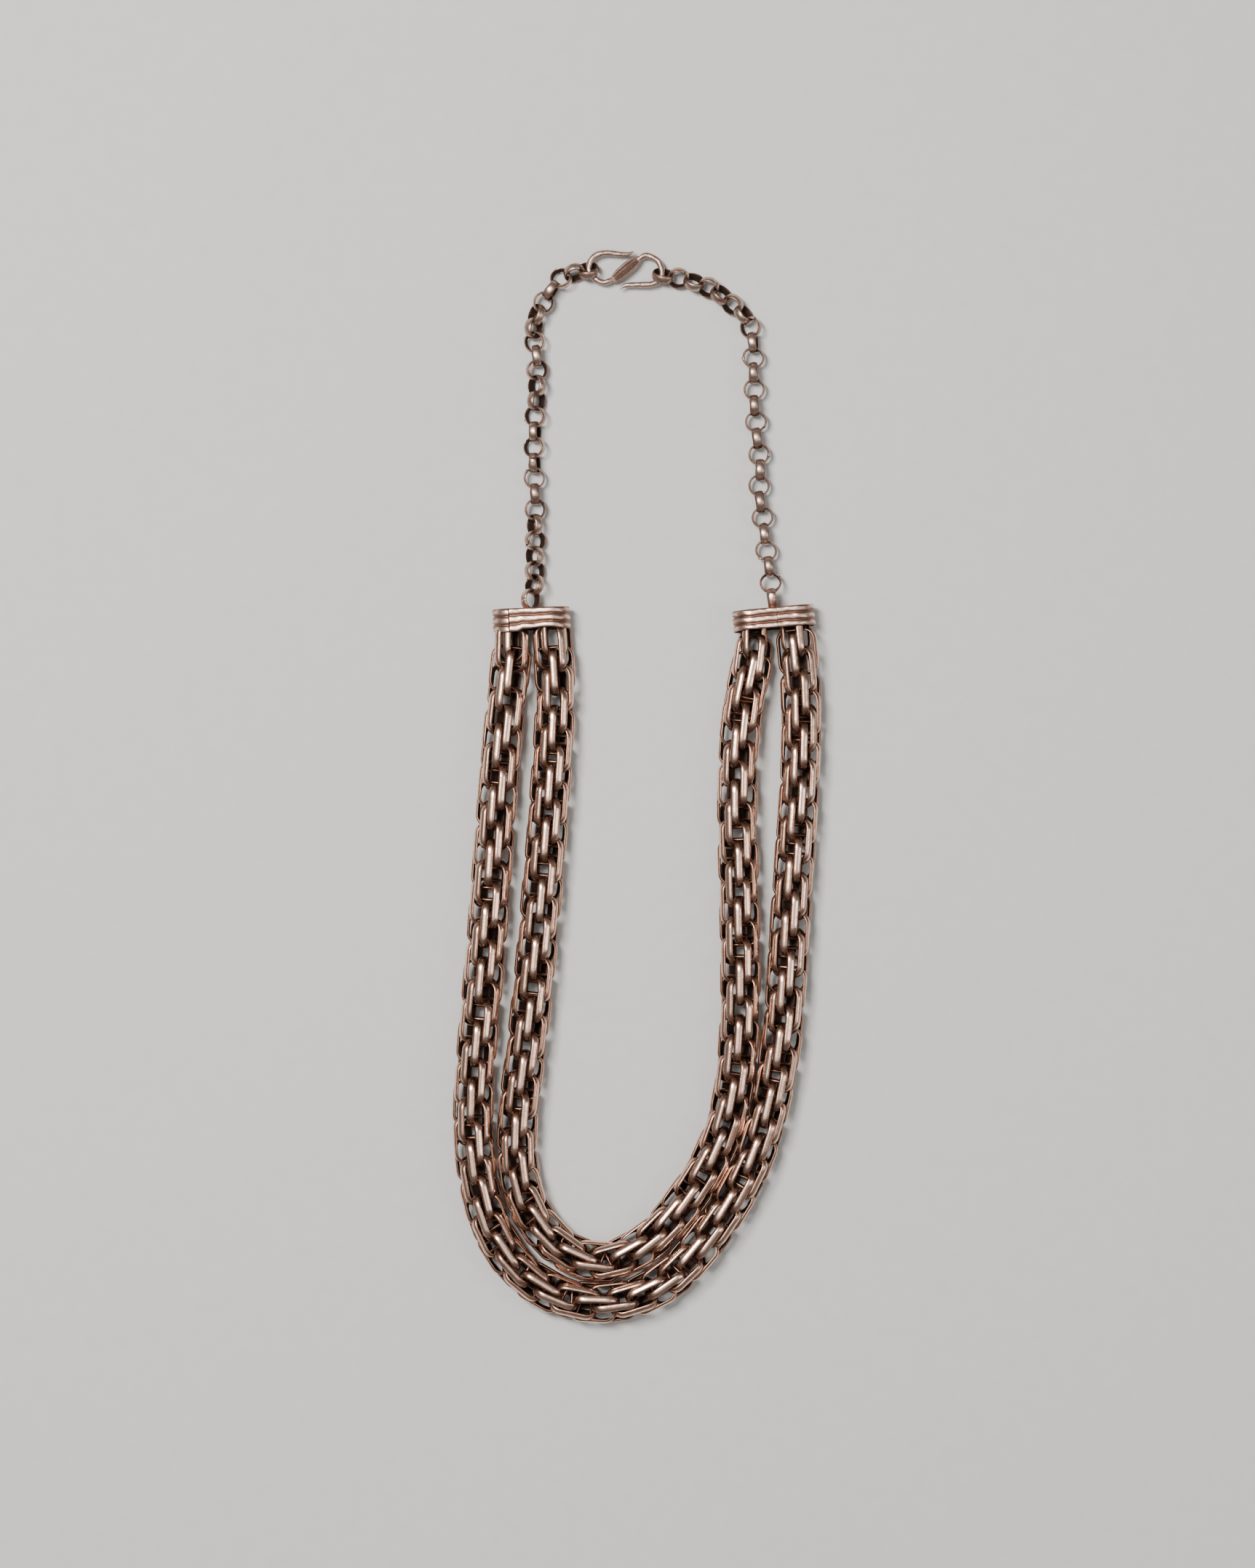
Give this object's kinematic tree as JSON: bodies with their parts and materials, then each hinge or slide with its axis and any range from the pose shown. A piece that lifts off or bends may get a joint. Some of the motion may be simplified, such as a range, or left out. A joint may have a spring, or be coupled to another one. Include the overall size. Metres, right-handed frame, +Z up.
{
  "type": "snake necklace",
  "caption": "Silver necklace of two thick snake ropes of interlocked strap rings between ribbed end caps, with belcher chains and an S hook clasp.",
  "frame": {"origin": "under the middle of the necklace, on the surface it lies on", "axes": "+Z up from the surface, +Y from the bottom of the ropes towards the hook"},
  "size_m": [0.0831, 0.2432, 0.0088],
  "materials": {
    "rope_silver": "polished, with tarnish inside",
    "cap_silver": "polished ribs over tarnished grooves",
    "chain_silver": "polished",
    "hook_silver": "hammered and polished"
  },
  "bodies": {
    "root": {"outer_rope": "rope_silver", "inner_rope": "rope_silver", "left_cap": "cap_silver", "right_cap": "cap_silver", "left_chain": "chain_silver", "right_chain": "chain_silver", "s_hook": "hook_silver"}
  },
  "joints": []
}
